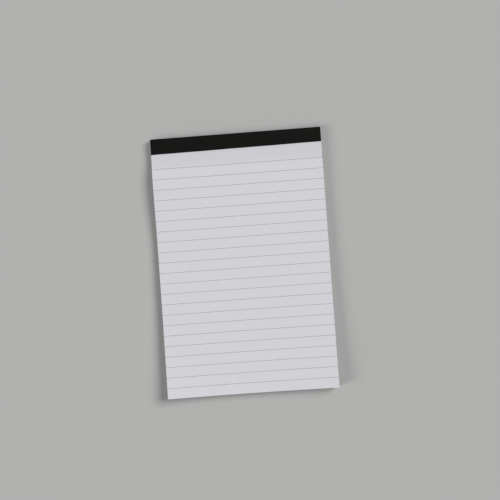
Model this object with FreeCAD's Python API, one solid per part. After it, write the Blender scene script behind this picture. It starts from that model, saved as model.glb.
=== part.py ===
# A legal pad of half-letter size. Fifty ruled sheets lie on a chipboard back. Two wire
# staples hold them together at the head, and a black paper tape is folded over the head
# from the front sheet to the back of the board, so that it hides the staples. Just below
# the tape the sheets are perforated, and tear off there. They lie flat at the binding and
# curl up a little towards the foot, most at its two corners.
# The pad lies on its back: +Z is up, +Y points to the bound head, and the origin is the
# middle of its underside. All sizes are in millimetres.
import FreeCAD, Part
import math
import os

# The sheets: their cut size, how many, and the height that each takes in the stack.
sheet_width = 140.0
sheet_length = 213.0
sheet_count = 50
sheet_pitch = 0.10

# The sheets part slightly at their three free edges: the air there, how deep it goes, and
# how many sheets cling together between two such gaps.
leaf_gap = 0.03
leaf_gap_depth = 0.30
sheets_together = 2

# How far the front sheet has curled up at the foot: at its middle, how much more at both
# corners, and by how much the left corner stands above that and the right one below it.
foot_curl = 1.6
corner_curl = 3.4
curl_lean = 0.2

# The chipboard back, cut to the sheets' size.
board_thickness = 0.80

# The binding tape. Its front edge is stuck down slightly askew, so it has two widths.
tape_thickness = 0.20
tape_front_left = 12.7
tape_front_right = 11.8
tape_back = 14.0
fold_radius = 0.40

# The perforation: short cuts through every sheet, with uncut ties between them.
perforation_below_tape = 0.8
slit_length = 1.8
slit_width = 0.10
slit_tie = 0.70

# The printed rules, which run from edge to edge, and the film of ink that they are.
first_rule_from_head = 24.95
rule_pitch = 8.55
rule_width = 0.30
foot_margin = 5.0
ink_thickness = 0.02

# The staples, bent from flat wire. Crown and clinched ends are pressed flush into the
# paper and the board. Widths and lengths are measured inside the wire.
wire_width = 0.70
wire_thickness = 0.50
bend_radius = 0.30
crown_width = 11.5
clinch_length = 4.0
staple_from_side = 34.0
staple_from_head = 6.5
hole_clearance = 0.03

# Places that follow from the sizes.
block_thickness = sheet_count * sheet_pitch
overall_length = sheet_length + tape_thickness
foot_y = -overall_length / 2
head_y = foot_y + sheet_length
half_width = sheet_width / 2
board_bottom = tape_thickness
board_top = board_bottom + board_thickness
page_top = board_top + block_thickness
perforation_y = head_y - max(tape_front_left, tape_front_right) - perforation_below_tape
loose_y = perforation_y - slit_width
highest_curl = foot_curl + corner_curl + abs(curl_lean)
staple_y = head_y - staple_from_head
staple_centres = (
    -half_width + staple_from_side,
    half_width - staple_from_side,
)
pressed_depth = wire_thickness + hole_clearance
crown_z = page_top - pressed_depth
clinch_z = board_bottom + pressed_depth


def box(low, high):
    """A box between two opposite corners."""
    size = [high[k] - low[k] for k in range(3)]
    return Part.makeBox(*size, FreeCAD.Vector(*low))


def with_rounded_edge(solid, y, z, radius):
    """Rounds the solid's straight edge that runs along X at that Y and Z."""
    def runs_there(edge):
        return all(
            math.isclose(v.Y, y, abs_tol=1e-6) and math.isclose(v.Z, z, abs_tol=1e-6)
            for v in edge.Vertexes
        )

    return solid.makeFillet(radius, [e for e in solid.Edges if runs_there(e)])


def path(points, radius=0.0):
    """A wire through the points, each corner an arc of that radius, or sharp with none."""
    if not radius:
        return Part.makePolygon(points)
    edges = []
    start = points[0]
    for before, corner, after in zip(points, points[1:], points[2:]):
        way_in = (corner - before).normalize()
        way_out = (after - corner).normalize()
        half_turn = way_in.getAngle(way_out) / 2
        tangent = radius * math.tan(half_turn)
        arc_start = corner - way_in * tangent
        arc_end = corner + way_out * tangent
        inward = (way_out - way_in).normalize()
        arc_middle = corner + inward * (radius / math.cos(half_turn) - radius)
        edges.append(Part.LineSegment(start, arc_start).toShape())
        edges.append(Part.Arc(arc_start, arc_middle, arc_end).toShape())
        start = arc_end
    edges.append(Part.LineSegment(start, points[-1]).toShape())
    return Part.Wire(edges)


def strip_between(near, far, across):
    """A folded strip: the section between its two long lines, drawn out across."""
    ends = [
        Part.LineSegment(near.Vertexes[k].Point, far.Vertexes[k].Point).toShape()
        for k in (0, -1)
    ]
    outline = Part.Wire(Part.__sortEdges__(near.Edges + far.Edges + ends))
    return Part.Face(outline).extrude(across)


def staple_corners(centre_x, y, outward, spare=0.0):
    """The corners of a clinched staple's inside line, or of one that far outside it.

    From one tip to the other it runs under the board, up through the pad, over the front
    sheet and down again. The spare is added at both tips."""
    left = centre_x - crown_width / 2
    right = centre_x + crown_width / 2
    reach = clinch_length + spare
    low_z = clinch_z - outward
    high_z = crown_z + outward
    return [
        FreeCAD.Vector(x, y, z)
        for x, z in (
            (left + reach, low_z),
            (left - outward, low_z),
            (left - outward, high_z),
            (right + outward, high_z),
            (right + outward, low_z),
            (right - reach, low_z),
        )
    ]


def make_staple(centre_x):
    """One staple, its folds round on both sides."""
    y = staple_y - wire_width / 2
    near = path(staple_corners(centre_x, y, 0.0), bend_radius)
    far = path(staple_corners(centre_x, y, wire_thickness), bend_radius + wire_thickness)
    return strip_between(near, far, FreeCAD.Vector(0, wire_width, 0))


def staple_slot(centre_x):
    """The slot a staple is pressed into: it is open at the front sheet and the back."""
    width = wire_width + 2 * hole_clearance
    y = staple_y - width / 2
    inside = staple_corners(centre_x, y, -hole_clearance, hole_clearance)
    outside = staple_corners(centre_x, y, pressed_depth, hole_clearance)
    near = path(inside, bend_radius - hole_clearance)
    return strip_between(near, path(outside), FreeCAD.Vector(0, width, 0))


def staple_slots():
    """The slots of both staples."""
    return [staple_slot(x) for x in staple_centres]


def evenly(low, high, count):
    """That many even steps from low to high, both ends included."""
    return [low + (high - low) * k / count for k in range(count + 1)]


def curl(x, y):
    """How far the front sheet has curled up there, below the binding."""
    across = x / half_width
    down = (loose_y - y) / (loose_y - foot_y)
    return (foot_curl + corner_curl * across ** 2 - curl_lean * across) * down ** 3


def sheet_face(sheets):
    """The curled face that lies on that many sheets, a little larger than they are.

    Each sheet takes its share of the curl, the lowest one the least. A patch with only its
    last row of poles raised leaves the binding level and bends more and more to the foot."""
    overreach = 1.0
    share = sheets / sheet_count
    flat_z = board_top + sheets * sheet_pitch
    columns = evenly(-half_width - overreach, half_width + overreach, 2)
    rows = evenly(loose_y, foot_y - overreach, 3)
    left, middle, right = [curl(x, rows[-1]) for x in columns]
    raised = [left, 2 * middle - (left + right) / 2, right]
    patch = Part.BezierSurface()
    patch.increase(len(columns) - 1, len(rows) - 1)
    for i, x in enumerate(columns):
        for j, y in enumerate(rows):
            up = share * raised[i] if y == rows[-1] else 0.0
            patch.setPole(i + 1, j + 1, FreeCAD.Vector(x, y, flat_z + up))
    return patch.toShape()


def leaf_gaps():
    """The air between the sheets, along both sides and the foot."""
    inside = box(
        (-half_width + leaf_gap_depth, foot_y + leaf_gap_depth, board_top),
        (half_width - leaf_gap_depth, loose_y, page_top + highest_curl),
    )
    gaps = []
    for sheets in range(sheets_together, sheet_count, sheets_together):
        face = sheet_face(sheets).translated(FreeCAD.Vector(0, 0, -leaf_gap / 2))
        gaps.append(face.extrude(FreeCAD.Vector(0, 0, leaf_gap)).cut(inside))
    return gaps


def perforation():
    """A row of slits across the sheets, with at least a tie left at either side."""
    pitch = slit_length + slit_tie
    count = int((sheet_width - slit_tie) / pitch)
    first_x = -(count * pitch - slit_tie) / 2
    return [
        box(
            (first_x + slit * pitch, perforation_y - slit_width / 2, board_top),
            (first_x + slit * pitch + slit_length, perforation_y + slit_width / 2, page_top),
        )
        for slit in range(count)
    ]


def make_page_block():
    """The sheets as one solid, rounded where the tape folds over their front edge."""
    room = block_thickness + highest_curl
    under_front_face = sheet_face(sheet_count).extrude(FreeCAD.Vector(0, 0, -2 * room))
    loose = box((-half_width, foot_y, board_top), (half_width, loose_y, board_top + room))
    loose = loose.common(under_front_face).cut(leaf_gaps())
    bound = box((-half_width, loose_y, board_top), (half_width, head_y, page_top))
    bound = with_rounded_edge(bound, head_y, page_top, fold_radius)
    bound = bound.cut(perforation() + staple_slots())
    return bound.fuse(loose)


def make_backing_board():
    """The chipboard back, rounded where the tape folds under it."""
    board = box((-half_width, foot_y, board_bottom), (half_width, head_y, board_top))
    board = with_rounded_edge(board, head_y, board_bottom, fold_radius)
    return board.cut(staple_slots())


def make_binding_tape():
    """The tape: a strip folded round the head, its front edge then trimmed askew."""
    front_y = head_y - max(tape_front_left, tape_front_right)
    back_y = head_y - tape_back

    def wrap(outward):
        """The tape's line round the head, that far out from the paper."""
        corners = [
            FreeCAD.Vector(-half_width, y, z)
            for y, z in (
                (front_y, page_top + outward),
                (head_y + outward, page_top + outward),
                (head_y + outward, board_bottom - outward),
                (back_y, board_bottom - outward),
            )
        ]
        return path(corners, fold_radius + outward)

    across = FreeCAD.Vector(sheet_width, 0, 0)
    strip = strip_between(wrap(0.0), wrap(tape_thickness), across)

    beyond_y = front_y - tape_thickness
    trimmed_away = Part.makePolygon([
        FreeCAD.Vector(x, y, page_top)
        for x, y in (
            (-half_width, beyond_y),
            (half_width, beyond_y),
            (half_width, head_y - tape_front_right),
            (-half_width, head_y - tape_front_left),
            (-half_width, beyond_y),
        )
    ])
    return strip.cut(Part.Face(trimmed_away).extrude(FreeCAD.Vector(0, 0, tape_thickness)))


def make_ruled_lines():
    """The printed rules: thin bars of ink that follow the front sheet across."""
    ruled_length = sheet_length - first_rule_from_head - foot_margin
    count = int(ruled_length / rule_pitch) + 1
    film = sheet_face(sheet_count).extrude(FreeCAD.Vector(0, 0, ink_thickness))
    high_z = page_top + highest_curl + ink_thickness
    lines = []
    for rule in range(count):
        y = head_y - first_rule_from_head - rule * rule_pitch
        lines.append(film.common(box(
            (-half_width, y - rule_width / 2, page_top),
            (half_width, y + rule_width / 2, high_z),
        )))
    return Part.makeCompound([line.Solids[0] for line in lines])


def make_staples():
    """Both staples."""
    return Part.makeCompound([make_staple(x) for x in staple_centres])


subparts = {
    "page_block": make_page_block,
    "backing_board": make_backing_board,
    "binding_tape": make_binding_tape,
    "staples": make_staples,
    "ruled_lines": make_ruled_lines,
}

os.makedirs("parts", exist_ok=True)
for name, make in subparts.items():
    shape = make()
    shape.exportStep(f"parts/{name}.step")
    print(f"{name}: {len(shape.Solids)} solids, {len(shape.Faces)} faces, {shape.Volume:.1f} mm3")
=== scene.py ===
import math
import random

import bpy
from mathutils import Euler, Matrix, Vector


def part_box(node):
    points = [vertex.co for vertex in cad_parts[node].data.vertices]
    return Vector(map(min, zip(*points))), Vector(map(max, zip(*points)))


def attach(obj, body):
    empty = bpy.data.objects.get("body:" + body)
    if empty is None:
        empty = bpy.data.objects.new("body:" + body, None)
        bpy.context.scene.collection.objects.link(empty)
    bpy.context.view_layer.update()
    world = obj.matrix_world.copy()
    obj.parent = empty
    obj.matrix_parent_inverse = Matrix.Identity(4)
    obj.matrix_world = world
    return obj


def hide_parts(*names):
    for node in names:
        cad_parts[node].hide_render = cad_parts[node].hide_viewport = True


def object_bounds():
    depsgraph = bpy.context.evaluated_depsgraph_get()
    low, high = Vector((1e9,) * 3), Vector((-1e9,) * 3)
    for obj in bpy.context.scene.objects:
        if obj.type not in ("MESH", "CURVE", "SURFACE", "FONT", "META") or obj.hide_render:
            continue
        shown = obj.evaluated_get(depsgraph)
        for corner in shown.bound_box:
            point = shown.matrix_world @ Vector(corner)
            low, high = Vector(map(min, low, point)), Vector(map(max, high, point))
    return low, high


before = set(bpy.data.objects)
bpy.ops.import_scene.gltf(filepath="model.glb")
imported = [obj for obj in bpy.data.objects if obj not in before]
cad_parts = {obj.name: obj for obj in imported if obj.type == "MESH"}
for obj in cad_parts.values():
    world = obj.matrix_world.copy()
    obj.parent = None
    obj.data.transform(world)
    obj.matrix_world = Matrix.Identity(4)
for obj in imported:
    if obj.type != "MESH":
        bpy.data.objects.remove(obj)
cad_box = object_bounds()

# The chipboard back is one piece of grey board, felted and pressed from mixed waste paper,
# so that long fibres, flecks of old ink and paler scraps show in it. It is cut to size in
# one stroke with the sheets, which leaves its edge a little soft.
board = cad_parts["backing_board"]
board_low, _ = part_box("backing_board")
board_colour = (0.285, 0.250, 0.200)
ink_fleck_colour = (0.075, 0.072, 0.075, 1)
ink_fleck_spacing = 0.0011
ink_fleck_share = 0.030
scrap_colour = (0.520, 0.490, 0.430, 1)
scrap_spacing = 0.0016
scrap_share = 0.035
board_edge_softness = 0.00008


def place(tree, kind, inputs=None, **settings):
    """A new node with those settings. Each input is a value, or the socket that feeds it."""
    made = tree.nodes.new(kind)
    for name, value in settings.items():
        setattr(made, name, value)
    for name, value in (inputs or {}).items():
        if isinstance(value, bpy.types.NodeSocket):
            tree.links.new(value, made.inputs[name])
        else:
            made.inputs[name].default_value = value
    return made


def maths(tree, operation, *values):
    """The result of that operation on the values, each a number or a socket."""
    return place(tree, "ShaderNodeMath", dict(enumerate(values)), operation=operation).outputs[0]


def mapped(tree, value, low, high, to_low=0.0, to_high=1.0, **settings):
    """The value, carried from the range low to high over to the other range and kept in it."""
    return place(tree, "ShaderNodeMapRange", {
        "Value": value,
        "From Min": low,
        "From Max": high,
        "To Min": to_low,
        "To Max": to_high,
    }, **settings).outputs[0]


def place_on_object(tree):
    """Where the shaded point lies on the pad, in metres."""
    return place(tree, "ShaderNodeTexCoord").outputs["Object"]


def new_group(name, inputs, outputs):
    """An empty node group with those number sockets, and its two end nodes."""
    group = bpy.data.node_groups.new(name, "ShaderNodeTree")
    for socket in inputs:
        group.interface.new_socket(socket, in_out="INPUT", socket_type="NodeSocketFloat")
    for socket in outputs:
        group.interface.new_socket(socket, in_out="OUTPUT", socket_type="NodeSocketFloat")
    return group, place(group, "NodeGroupInput"), place(group, "NodeGroupOutput")


def tone_around_one(tree, value, contrast):
    """A factor that swings about 1 by half the contrast as the value goes from 0 to 1."""
    swing = maths(tree, "SUBTRACT", value, 0.5)
    return maths(tree, "MULTIPLY_ADD", swing, contrast, 1.0)


def make_fibre_group():
    """Felted fibres: stretched noise that lies three ways, the uppermost strand showing."""
    strand_turns = (0.3, 1.4, 2.5)
    strand_stretch = 14
    deepest_strand = 0.42
    highest_strand = 0.78
    group, entry, leave = new_group("felted_fibres", ["Fibre Width", "Contrast"], ["Tone", "Height"])
    scaled = place(group, "ShaderNodeVectorMath", {
        0: place_on_object(group),
        "Scale": maths(group, "DIVIDE", 1.0, entry.outputs["Fibre Width"]),
    }, operation="SCALE").outputs[0]
    strands = []
    for turn in strand_turns:
        laid = place(group, "ShaderNodeMapping", {
            "Vector": scaled,
            "Rotation": (0, 0, turn),
            "Scale": (1 / strand_stretch, 1, 1),
        })
        strands.append(place(group, "ShaderNodeTexNoise", {
            "Vector": laid.outputs[0],
            "Scale": 1.0,
            "Detail": 1.5,
            "Distortion": 0.4,
        }).outputs["Fac"])
    upper = maths(group, "MAXIMUM", strands[0], strands[1])
    height = mapped(group, maths(group, "MAXIMUM", upper, strands[2]), deepest_strand, highest_strand)
    group.links.new(height, leave.inputs["Height"])
    group.links.new(tone_around_one(group, height, entry.outputs["Contrast"]), leave.inputs["Tone"])
    return group


def make_cloud_group():
    """Soft clouds of light and dark, as the pulp settles unevenly in a sheet."""
    group, entry, leave = new_group("clouds", ["Cloud Width", "Contrast"], ["Tone", "Height"])
    cloud = place(group, "ShaderNodeTexNoise", {
        "Vector": place_on_object(group),
        "Scale": maths(group, "DIVIDE", 1.0, entry.outputs["Cloud Width"]),
        "Detail": 3.0,
        "Roughness": 0.55,
    }).outputs["Fac"]
    group.links.new(cloud, leave.inputs["Height"])
    group.links.new(tone_around_one(group, cloud, entry.outputs["Contrast"]), leave.inputs["Tone"])
    return group


fibre_group = make_fibre_group()
cloud_group = make_cloud_group()


def place_group(tree, group, width, contrast):
    """One of the two groups above, at that width in metres and that contrast."""
    made = place(tree, "ShaderNodeGroup", node_tree=group)
    made.inputs[0].default_value = width
    made.inputs[1].default_value = contrast
    return made


def new_material(name):
    """A material with its Principled shader, which is given back with the node tree."""
    material = bpy.data.materials.new(name)
    material.use_nodes = True
    tree = material.node_tree
    return material, tree, tree.nodes["Principled BSDF"]


def toned(tree, colour, *tones):
    """The colour times each of the tones."""
    for tone in tones:
        scaled = place(tree, "ShaderNodeVectorMath", {0: colour, "Scale": tone}, operation="SCALE")
        colour = scaled.outputs[0]
    return colour


def mixed(tree, share, colour, other):
    """The colour, which goes over to the other one as the share goes from 0 to 1."""
    mix = place(tree, "ShaderNodeMix", {0: share, 6: colour, 7: other}, data_type="RGBA")
    return mix.outputs[2]


def roughened(tree, shader, height, at_low, at_high):
    """Sets a roughness that goes from the one value to the other as the height goes up."""
    tree.links.new(mapped(tree, height, 0.0, 1.0, at_low, at_high), shader.inputs["Roughness"])


def bumped(tree, height, depth, beneath=None):
    """A normal from the height, which stands for that depth in metres."""
    inputs = {"Height": height, "Distance": depth, "Strength": 1.0}
    if beneath:
        inputs["Normal"] = beneath
    return place(tree, "ShaderNodeBump", inputs).outputs["Normal"]


def fleck_mask(tree, spacing, share):
    """Small irregular flecks, that far apart, on more of the board as the share goes up."""
    noise_top = 0.70
    fleck_softness = 0.04
    blot = place(tree, "ShaderNodeTexNoise", {
        "Vector": place_on_object(tree),
        "Scale": 1 / spacing,
        "Detail": 3.0,
        "Roughness": 0.6,
        "Distortion": 0.8,
    }).outputs["Fac"]
    starts_at = noise_top - share
    return mapped(tree, blot, starts_at, starts_at + fleck_softness)


def make_chipboard():
    """Grey board with fibres, clouds and two kinds of fleck."""
    material, tree, shader = new_material("chipboard")
    fibres = place_group(tree, fibre_group, width=0.00022, contrast=0.34)
    clouds = place_group(tree, cloud_group, width=0.009, contrast=0.22)
    colour = toned(tree, board_colour, fibres.outputs["Tone"], clouds.outputs["Tone"])
    colour = mixed(tree, fleck_mask(tree, ink_fleck_spacing, ink_fleck_share), colour, ink_fleck_colour)
    colour = mixed(tree, fleck_mask(tree, scrap_spacing, scrap_share), colour, scrap_colour)
    tree.links.new(colour, shader.inputs["Base Color"])
    roughened(tree, shader, fibres.outputs["Height"], at_low=0.95, at_high=0.80)
    shader.inputs["Specular IOR Level"].default_value = 0.25
    tree.links.new(bumped(tree, fibres.outputs["Height"], depth=0.00003), shader.inputs["Normal"])
    return material


board.data.materials.clear()
board.data.materials.append(make_chipboard())
soft_edge = board.modifiers.new("soft_edge", "BEVEL")
soft_edge.width = board_edge_softness
soft_edge.segments = 2
soft_edge.limit_method = "ANGLE"

# The staples are bent from flat galvanised wire, driven through the sheets and the board and
# clinched behind. Their crowns and ends are pressed flush, and the tape hides them.
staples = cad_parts["staples"]
zinc_colour = (0.56, 0.57, 0.58)


def make_zinc():
    """Dull bright zinc, slightly spangled."""
    material, tree, shader = new_material("galvanised_wire")
    spangle = place_group(tree, cloud_group, width=0.0006, contrast=0.30)
    tree.links.new(toned(tree, zinc_colour, spangle.outputs["Tone"]), shader.inputs["Base Color"])
    shader.inputs["Metallic"].default_value = 1.0
    roughened(tree, shader, spangle.outputs["Height"], at_low=0.30, at_high=0.50)
    tree.links.new(bumped(tree, spangle.outputs["Height"], depth=0.00001), shader.inputs["Normal"])
    return material


staples.data.materials.clear()
staples.data.materials.append(make_zinc())

# The sheets are uncoated writing paper, cut all together, so that their edges lie flush to a
# few hundredths of a millimetre. Staples pinch them at the head. Below it the stack loosens,
# and its foot and corners have curled up a little, most in the front sheets.
page_low, page_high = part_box("page_block")
_, tape_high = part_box("binding_tape")
half_width = tape_high.x
foot_y = page_low.y
head_y = page_high.y
tape_thickness = tape_high.y - head_y
page_top = tape_high.z - tape_thickness
leaf_count = 50
leaf_pitch = (page_top - page_low.z) / leaf_count
leaf_thickness = 0.00008
leaf_gap_depth = 0.0006
pinched_share = 0.3
stack_steps_across = 18
stack_steps_along = 30
leaf_edge_jitter = 0.00002
head_fold_radius = 0.0004
perforation_below_tape = 0.0008
paper_colour = (0.638, 0.631, 0.665)

# How far the front sheet has curled up at the foot: at its middle, how much more at both
# corners, and by how much the left one stands above that and the right one below it.
foot_curl = 0.0016
corner_curl = 0.0034
curl_lean = 0.0002

# A swell of the left side below the binding: its height, how far below the perforation its
# top lies, and how far it reaches past that. The whole sheet is also slightly cockled.
swell_height = 0.0026
swell_top = 0.019
swell_reach = 0.056
cockle_height = 0.00005
cockle_start = 0.020


def tape_front_edge():
    """The Y of the tape's front edge at the left and at the right side."""
    front = [v.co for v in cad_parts["binding_tape"].data.vertices if v.co.z > page_top]
    return [min(c.y for c in front if c.x * side > 0) for side in (-1, 1)]


front_left_y, front_right_y = tape_front_edge()
perforation_y = min(front_left_y, front_right_y) - perforation_below_tape


def eased(share):
    """A smooth step from 0 to 1."""
    share = min(max(share, 0.0), 1.0)
    return share * share * (3 - 2 * share)


def cockle(x, y):
    """Long shallow waves, from about -1.6 to 1.6, as paper gets when it takes up moisture.

    The numbers at x and y are radians per metre, for waves 4 to 8 centimetres long."""
    crossed = math.sin(97 * x + 41 * y) * math.sin(73 * y - 29 * x + 1.1)
    finer = math.sin(151 * y + 63 * x + 0.7)
    return crossed + 0.6 * finer


def lift(x, y):
    """How far the front sheet stands above its flat place there."""
    below = perforation_y - y
    if below <= 0:
        return 0.0
    across = x / half_width
    down = below / (perforation_y - foot_y)
    curl = (foot_curl + corner_curl * across ** 2 - curl_lean * across) * down ** 3
    leftward = (1 - across) / 2
    past_top = (below - swell_top) / (swell_top if below < swell_top else swell_reach)
    swell = swell_height * leftward ** 2 * eased(1 - abs(past_top))
    return curl + swell + cockle_height * cockle(x, y) * eased(below / cockle_start)


def leaf_shares():
    """How much of the front sheet's lift each leaf takes, from the board up.

    The gaps widen towards the front sheet, and here and there one is looser."""
    draw = random.Random(11)
    tightest = 0.5
    loosest = 0.8
    steps = [tightest + k / leaf_count + loosest * draw.random() ** 3 for k in range(leaf_count)]
    total = sum(steps)
    shares = []
    reached = 0.0
    for step in steps:
        reached += step / total
        shares.append(reached)
    return shares


def leaf_offsets():
    """How far each leaf's left, right and foot edge lies outside the cut, in metres."""
    draw = random.Random(5)
    return [[draw.gauss(0, 1) * leaf_edge_jitter for _ in range(3)] for _ in range(leaf_count)]


leaf_share = leaf_shares()
leaf_offset = leaf_offsets()


def head_end(z):
    """Where a leaf at that height ends, inside the fold of the tape."""
    into_fold = z - (page_top - head_fold_radius)
    if into_fold <= 0:
        return head_y
    into_fold = min(into_fold, head_fold_radius)
    return head_y - head_fold_radius + math.sqrt(head_fold_radius ** 2 - into_fold ** 2)


def leaf_point(leaf, x, y, up=0.0):
    """The place of a point of that leaf, up from its underside and no further than the fold."""
    left, right, foot = leaf_offset[leaf]
    across = (x + half_width) / (2 * half_width)
    footward = (head_y - y) / (head_y - foot_y)
    z = page_low.z + leaf * leaf_pitch + leaf_share[leaf] * lift(x, y) + up
    placed_x = x - left * (1 - across) + right * across
    return (placed_x, min(y - foot * footward, head_end(z)), z)


def evenly(low, high, count):
    """That many even steps from low to high, both ends included."""
    return [low + (high - low) * k / count for k in range(count + 1)]


def cells(columns, rows):
    """The four corners of each cell of a grid, counterclockwise from above."""
    for y, next_y in zip(rows, rows[1:]):
        for x, next_x in zip(columns, columns[1:]):
            yield (x, y), (next_x, y), (next_x, next_y), (x, next_y)


def rim_of(columns, rows):
    """The points round a grid, counterclockwise from above."""
    rim = [(x, rows[0]) for x in columns[:-1]]
    rim += [(columns[-1], y) for y in rows[:-1]]
    rim += [(x, rows[-1]) for x in columns[:0:-1]]
    rim += [(columns[0], y) for y in rows[:0:-1]]
    return rim


def slab(columns, rows, at):
    """Vertices and faces of a closed thin slab. at(x, y, side) is a point of side 0 or 1."""
    grid = [(x, y) for y in rows for x in columns]
    verts = [at(x, y, side) for side in (0, 1) for x, y in grid]
    low = {point: k for k, point in enumerate(grid)}
    high = {point: k + len(grid) for point, k in low.items()}
    faces = [[high[corner] for corner in cell] for cell in cells(columns, rows)]
    faces += [[low[corner] for corner in reversed(cell)] for cell in cells(columns, rows)]
    rim = rim_of(columns, rows)
    for here, there in zip(rim, rim[1:] + rim[:1]):
        faces.append([low[here], low[there], high[there], high[here]])
    return verts, faces


def joined(parts):
    """The vertices and faces of several parts in one list each."""
    verts = []
    faces = []
    for part_verts, part_faces in parts:
        start = len(verts)
        verts += part_verts
        faces += [[start + k for k in face] for face in part_faces]
    return verts, faces


def new_piece(name, verts, faces, material):
    """A mesh object on the root body, smooth but for its sharp edges."""
    mesh = bpy.data.meshes.new(name)
    mesh.from_pydata(verts, [], faces)
    mesh.validate()
    mesh.polygons.foreach_set("use_smooth", [True] * len(mesh.polygons))
    mesh.set_sharp_from_angle(angle=math.radians(40))
    mesh.materials.append(material)
    piece = bpy.data.objects.new(name, mesh)
    bpy.context.scene.collection.objects.link(piece)
    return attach(piece, "root")


def rule_places():
    """The Y of each printed rule, from the head down, and their width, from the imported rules."""
    space_between = 0.001
    ys = sorted(v.co.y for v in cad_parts["ruled_lines"].data.vertices)
    rules = [[ys[0]]]
    for y in ys[1:]:
        if y - rules[-1][-1] > space_between:
            rules.append([])
        rules[-1].append(y)
    middles = [(rule[0] + rule[-1]) / 2 for rule in rules]
    return middles[::-1], rules[0][-1] - rules[0][0]


rule_ys, rule_width = rule_places()
rule_pitch = (rule_ys[0] - rule_ys[-1]) / (len(rule_ys) - 1)


def rule_end_marks(tree, y):
    """A mask of the faint marks that the rules' cut ends leave down both sides of the stack."""
    mark_core = 0.4 * rule_width
    mark_reach = 0.8 * rule_width
    least_sideways = 0.7
    below_first = maths(tree, "SUBTRACT", rule_ys[0] + rule_pitch / 2, y)
    within_pitch = maths(tree, "FLOORED_MODULO", below_first, rule_pitch)
    off_rule = maths(tree, "ABSOLUTE", maths(tree, "SUBTRACT", within_pitch, rule_pitch / 2))
    on_rule = mapped(tree, off_rule, mark_reach, mark_core)
    ruled = mapped(tree, y, rule_ys[0] + rule_width, rule_ys[0] + rule_width / 2)
    normal = place(tree, "ShaderNodeNewGeometry").outputs["Normal"]
    sideways = maths(tree, "ABSOLUTE", place(tree, "ShaderNodeSeparateXYZ", {0: normal}).outputs["X"])
    cut_side = maths(tree, "GREATER_THAN", sideways, least_sideways)
    return maths(tree, "MULTIPLY", maths(tree, "MULTIPLY", on_rule, ruled), cut_side)


def make_paper():
    """White paper with fine fibres, and a painted shade that darkens it a little below the tape."""
    mark_strength = 0.16
    # Where the painted shade below the tape fades in, below the perforation, and how dark it makes the
    # paper.
    painted_shade_from = 0.007
    painted_shade_to = 0.014
    painted_shade_tone = 0.94
    material, tree, shader = new_material("writing_paper")
    fibres = place_group(tree, fibre_group, width=0.00006, contrast=0.050)
    clouds = place_group(tree, cloud_group, width=0.004, contrast=0.024)
    y = place(tree, "ShaderNodeSeparateXYZ", {0: place_on_object(tree)}).outputs["Y"]
    marked = maths(tree, "MULTIPLY_ADD", rule_end_marks(tree, y), -mark_strength, 1.0)
    # Painted shade: the paper is darkened by 6 % from 7 mm below the perforation up to the head, fading
    # out by 14 mm below it.
    painted_shade = mapped(
        tree, y, perforation_y - painted_shade_to, perforation_y - painted_shade_from, 1.0, painted_shade_tone,
        interpolation_type="SMOOTHSTEP",
    )
    colour = toned(
        tree, paper_colour, fibres.outputs["Tone"], clouds.outputs["Tone"], marked, painted_shade
    )
    tree.links.new(colour, shader.inputs["Base Color"])
    roughened(tree, shader, fibres.outputs["Height"], at_low=0.92, at_high=0.78)
    shader.inputs["Specular IOR Level"].default_value = 0.2
    fine = bumped(tree, fibres.outputs["Height"], depth=0.000004)
    uneven = bumped(tree, clouds.outputs["Height"], depth=0.00001, beneath=fine)
    tree.links.new(uneven, shader.inputs["Normal"])
    return material


paper = make_paper()


def stacked_point(leaf, up, inset, x, y):
    """A point of a leaf, set in from its three free edges.

    It is set in less where the staples pinch, and not at all at the head."""
    if y > perforation_y:
        inset *= pinched_share
    if y == head_y:
        inset = 0.0
    inset_x = max(inset - half_width, min(half_width - inset, x))
    return leaf_point(leaf, inset_x, max(y, foot_y + inset), up)


def welded(verts, faces):
    """The same faces on points of which no two lie in one place, without any left flat."""
    index = {}
    for vert in verts:
        index.setdefault(vert, len(index))
    faces = [list(dict.fromkeys(index[verts[k]] for k in face)) for face in faces]
    return list(index), [face for face in faces if len(face) > 2]


def make_sheets_below():
    """All sheets under the front one. Air shows between their edges, and inside they are one."""
    columns = evenly(-half_width, half_width, stack_steps_across)
    rows = evenly(foot_y, perforation_y, stack_steps_along)
    rows += [(perforation_y + head_y) / 2, head_y]
    rim = rim_of(columns, rows)
    last = leaf_count - 2
    levels = []
    for leaf in range(leaf_count - 1):
        levels += [(leaf, 0.0, 0.0), (leaf, leaf_thickness, 0.0)]
        if leaf < last:
            levels += [(leaf, leaf_thickness, leaf_gap_depth), (leaf + 1, 0.0, leaf_gap_depth)]
    # Each level is a ring of points round the stack, joined to the ring above it.
    verts = [stacked_point(*level, x, y) for level in levels for x, y in rim]
    faces = []
    for ring in range(0, len(verts) - len(rim), len(rim)):
        above = ring + len(rim)
        for k in range(len(rim)):
            after = (k + 1) % len(rim)
            faces.append([ring + k, ring + after, above + after, above + k])
    # The lowest ring is closed from below and the highest one from above.
    inner = [(x, y) for y in rows[1:-1] for x in columns[1:-1]]
    top_ring = len(verts) - len(rim)
    for level, ring, turn in ((levels[0], 0, -1), (levels[-1], top_ring, 1)):
        known = {point: ring + k for k, point in enumerate(rim)}
        known.update({point: len(verts) + k for k, point in enumerate(inner)})
        verts += [stacked_point(*level, x, y) for x, y in inner]
        faces += [[known[corner] for corner in cell[::turn]] for cell in cells(columns, rows)]
    return new_piece("sheets_below", *welded(verts, faces), paper)


sheets_below = make_sheets_below()
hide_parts("page_block")

# The front sheet is the same paper. A toothed wheel has cut it just below the tape, through
# all but short ties, so that the sheet tears off and leaves its stub under the tape.
slit_length = 0.0018
slit_tie = 0.0007
slit_width = 0.00006
front_leaf = leaf_count - 1
front_steps_across = 40
body_steps_along = 56
stub_steps_along = 8
front_columns = evenly(-half_width, half_width, front_steps_across)


def on_front_leaf(x, y, side):
    """A point of the front sheet, on its underside or on its upper side."""
    return leaf_point(front_leaf, x, y, side * leaf_thickness)


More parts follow.
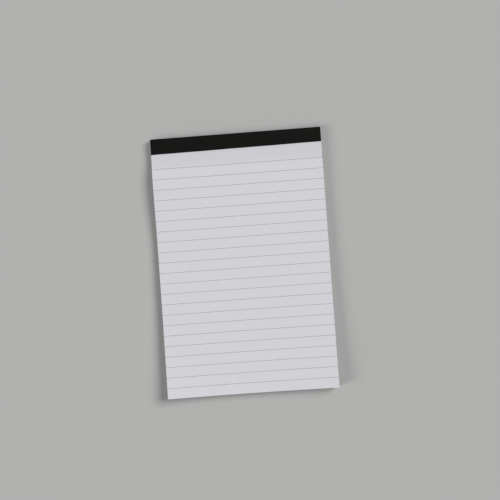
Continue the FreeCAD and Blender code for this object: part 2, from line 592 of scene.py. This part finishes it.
def tie_spans():
    """Where each tie between two slits starts and ends, and the uncut ends at both sides."""
    pitch = slit_length + slit_tie
    count = int((2 * half_width - slit_tie) / pitch)
    first = -(count * pitch - slit_tie) / 2
    slit_starts = [first + k * pitch for k in range(count)]
    slit_ends = [start + slit_length for start in slit_starts]
    return zip([-half_width] + slit_ends, slit_starts + [half_width])


def make_front_sheet():
    """The front sheet's body and stub, two thin slabs, and the ties between them."""
    body_end = perforation_y - slit_width / 2
    stub_start = perforation_y + slit_width / 2
    parts = [
        slab(front_columns, evenly(foot_y, body_end, body_steps_along), on_front_leaf),
        slab(front_columns, evenly(stub_start, head_y, stub_steps_along), on_front_leaf),
    ]
    parts += [slab(span, [body_end, stub_start], on_front_leaf) for span in tie_spans()]
    return new_piece("front_sheet", *joined(parts), paper)


front_sheet = make_front_sheet()
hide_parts("page_block")

# The rules are printed on the front sheet in one thin grey ink, from edge to edge. The ink
# sinks into the paper, so that each rule is a matt line of slightly uneven strength.
ink_root = 0.00001
ink_height = 0.00002
ink_levels = (leaf_thickness - ink_root, leaf_thickness + ink_height)
ink_colour = (0.278, 0.274, 0.300)


def make_ink():
    """Grey ink, broken up a little by the fibres under it."""
    material, tree, shader = new_material("rule_ink")
    fibres = place_group(tree, fibre_group, width=0.00006, contrast=0.30)
    clouds = place_group(tree, cloud_group, width=0.006, contrast=0.20)
    colour = toned(tree, ink_colour, fibres.outputs["Tone"], clouds.outputs["Tone"])
    tree.links.new(colour, shader.inputs["Base Color"])
    roughened(tree, shader, fibres.outputs["Height"], at_low=0.90, at_high=0.75)
    shader.inputs["Specular IOR Level"].default_value = 0.2
    return material


def on_ink(x, y, side):
    """A point of the ink, on its underside just in the paper or on its upper side."""
    return leaf_point(front_leaf, x, y, ink_levels[side])


def make_rules():
    """Thin strips of ink that follow the front sheet."""
    strips = [
        slab(front_columns, [y - rule_width / 2, y + rule_width / 2], on_ink) for y in rule_ys
    ]
    return new_piece("printed_rules", *joined(strips), make_ink())


printed_rules = make_rules()
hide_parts("ruled_lines")

# The binding tape is black paper with an embossed cloth grain, gummed on one side. It is
# laid on the front sheet, folded over the head and pressed to the back of the board. The
# staples under it show as very slight ridges.
tape_colour = (0.0042, 0.0042, 0.0036)
tape_thread_pitch = 0.00042
tape_edge_wander = 0.00004
tape_edge_waves = 4
tape_edge_wave_number = 110
tape_back_y = min(
    v.co.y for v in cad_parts["binding_tape"].data.vertices if v.co.z < board_low.z
)
tape_steps_across = 112
flap_steps = 26
fold_steps = 8
spine_steps = 6
crown_ridge = 0.00005
crown_ridge_softness = 0.0006


def staple_spans():
    """The lowest and highest corner of each staple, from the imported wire."""
    spans = []
    for side in (-1, 1):
        wire = [v.co for v in staples.data.vertices if v.co.x * side > 0]
        spans.append([Vector([pick(c[k] for c in wire) for k in range(3)]) for pick in (min, max)])
    return spans


staple_boxes = staple_spans()


def ridge_over(span_low, span_high, x, y):
    """The height of the soft ridge that a staple pushes up, from 0 to 1."""
    out_x = max(span_low.x - x, x - span_high.x, 0.0)
    out_y = max(span_low.y - y, y - span_high.y, 0.0)
    return 1 - eased(math.hypot(out_x, out_y) / crown_ridge_softness)


def tape_line(front_y, outward):
    """Points of the tape's line round the head, that far out from the paper, front to back."""
    radius = head_fold_radius + outward
    fold_y = head_y - head_fold_radius
    front_z = page_top + outward
    back_z = board_low.z - outward
    turns = [math.radians(angle) for angle in evenly(0, 90, fold_steps)]
    points = [(y, front_z) for y in evenly(front_y, fold_y, flap_steps)]
    points += [
        (fold_y + radius * math.sin(turn), front_z - radius + radius * math.cos(turn))
        for turn in turns[1:]
    ]
    spine = evenly(front_z - radius, back_z + radius, spine_steps)
    points += [(head_y + outward, z) for z in spine[1:-1]]
    points += [
        (fold_y + radius * math.cos(turn), back_z + radius - radius * math.sin(turn))
        for turn in turns
    ]
    points += [(y, back_z) for y in evenly(fold_y, tape_back_y, flap_steps)[1:]]
    return points


def make_tape():
    """The tape as one folded strip. Its front edge is askew and not quite even."""
    columns = evenly(-half_width, half_width, tape_steps_across)
    draw = random.Random(3)
    phases = [draw.uniform(0, 6.28) for _ in range(tape_edge_waves)]
    lines = {}
    for x in columns:
        across = (x + half_width) / (2 * half_width)
        turn = tape_edge_wave_number * x
        waves = [math.sin(k * turn + phase) / k for k, phase in enumerate(phases, start=1)]
        front_y = front_left_y * (1 - across) + front_right_y * across
        front_y += tape_edge_wander * sum(waves)
        lines[x] = [tape_line(front_y, outward) for outward in (0.0, tape_thickness)]

    def on_tape(x, step, side):
        """A point of the tape, on its gummed side or its outer one, raised over a staple."""
        y, z = lines[x][side][step]
        if side and z > page_top:
            z += crown_ridge * max(ridge_over(*span, x, y) for span in staple_boxes)
        return (x, y, z)

    steps = range(len(lines[columns[0]][0]))
    return new_piece("folded_tape", *slab(columns, steps, on_tape), make_tape_material())


def make_tape_material():
    """Matt black with a fine woven emboss."""
    material, tree, shader = new_material("black_tape")
    fibres = place_group(tree, fibre_group, width=0.00009, contrast=0.35)
    clouds = place_group(tree, cloud_group, width=0.005, contrast=0.25)
    threads = [
        place(tree, "ShaderNodeTexWave", {
            "Vector": place_on_object(tree),
            "Scale": 1 / tape_thread_pitch / (2 * math.pi),
            "Distortion": 1.2,
            "Detail": 1.0,
            "Detail Scale": 2.0,
        }, bands_direction=direction).outputs["Fac"]
        for direction in ("X", "Y")
    ]
    colour = toned(tree, tape_colour, fibres.outputs["Tone"], clouds.outputs["Tone"])
    tree.links.new(colour, shader.inputs["Base Color"])
    roughened(tree, shader, clouds.outputs["Height"], at_low=0.55, at_high=0.70)
    shader.inputs["Specular IOR Level"].default_value = 0.08
    weave = bumped(tree, maths(tree, "MULTIPLY", *threads), depth=0.00002)
    grain = bumped(tree, fibres.outputs["Height"], depth=0.000008, beneath=weave)
    tree.links.new(grain, shader.inputs["Normal"])
    return material


folded_tape = make_tape()
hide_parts("binding_tape")

# The floor is a plain pale studio table, and the same tone closes the view beyond it.
# It is quite matt, so that it shows nothing but the pad's soft shadow.
floor_colour = (0.44, 0.44, 0.434)
floor_reach = 6.0


def make_floor():
    """A level plane under the pad."""
    corners = [(-floor_reach, -floor_reach), (floor_reach, -floor_reach)]
    corners += [(floor_reach, floor_reach), (-floor_reach, floor_reach)]
    mesh = bpy.data.meshes.new("floor")
    mesh.from_pydata([(x, y, cad_box[0].z) for x, y in corners], [], [(0, 1, 2, 3)])
    material, tree, shader = new_material("pale_table")
    clouds = place_group(tree, cloud_group, width=0.05, contrast=0.01)
    tree.links.new(toned(tree, floor_colour, clouds.outputs["Tone"]), shader.inputs["Base Color"])
    shader.inputs["Roughness"].default_value = 1.0
    shader.inputs["Specular IOR Level"].default_value = 0.0
    mesh.materials.append(material)
    floor = bpy.data.objects.new("floor", mesh)
    bpy.context.scene.collection.objects.link(floor)


make_floor()

# The light is two soft lamps, a strong one at the right towards the head, a weak one at the
# left towards the foot, and an even glow from all round. Each has its share of the light
# that falls on the floor, and together they make a colour come out as it is written.
lamp_spread = math.radians(32)
lamps = {
    "right_lamp": (Vector((0.95, 0.41, 1.0)), 0.53),
    "left_lamp": (Vector((-1.50, -0.40, 1.0)), 0.24),
}
glow_share = 1 - sum(share for _, share in lamps.values())


def make_lamp(name, towards, share):
    """A far soft lamp in that direction, which gives the floor that share of its light."""
    lamp = bpy.data.lights.new(name, "SUN")
    lamp.energy = share * math.pi / towards.normalized().z
    lamp.angle = lamp_spread
    holder = bpy.data.objects.new(name, lamp)
    holder.rotation_euler = towards.to_track_quat("Z", "Y").to_euler()
    bpy.context.scene.collection.objects.link(holder)


def make_glow():
    """The glow of the world, which looks like the floor wherever it is seen."""
    world = bpy.data.worlds.new("studio")
    world.use_nodes = True
    tree = world.node_tree
    glow = tree.nodes["Background"]
    rays = place(tree, "ShaderNodeLightPath")
    seen = rays.outputs["Is Camera Ray"]
    for kind in ("Is Glossy Ray", "Is Transmission Ray"):
        seen = maths(tree, "MAXIMUM", seen, rays.outputs[kind])
    glow.inputs["Color"].default_value = (1, 1, 1, 1)
    strength = mapped(tree, seen, 0.0, 1.0, glow_share, floor_colour[0])
    tree.links.new(strength, glow.inputs["Strength"])
    bpy.context.scene.world = world


for name, (towards, share) in lamps.items():
    make_lamp(name, towards, share)
make_glow()

# The camera looks almost straight down on the pad, a little from its right, and is rolled,
# so that the pad stands slightly turned in the picture.
camera_lens = 70
camera_place = Vector((0.02845, 0.00565, 0.80190))
camera_turn = Euler([math.radians(angle) for angle in (0.1982, 1.6756, -4.1770)])


def make_camera():
    """The scene's camera."""
    camera = bpy.data.cameras.new("camera")
    camera.lens = camera_lens
    camera.sensor_width = 36
    camera.clip_start = 0.01
    camera.clip_end = 50
    holder = bpy.data.objects.new("camera", camera)
    holder.location = camera_place
    holder.rotation_euler = camera_turn
    bpy.context.scene.collection.objects.link(holder)
    bpy.context.scene.camera = holder


make_camera()
bpy.context.scene.view_settings.view_transform = "Standard"
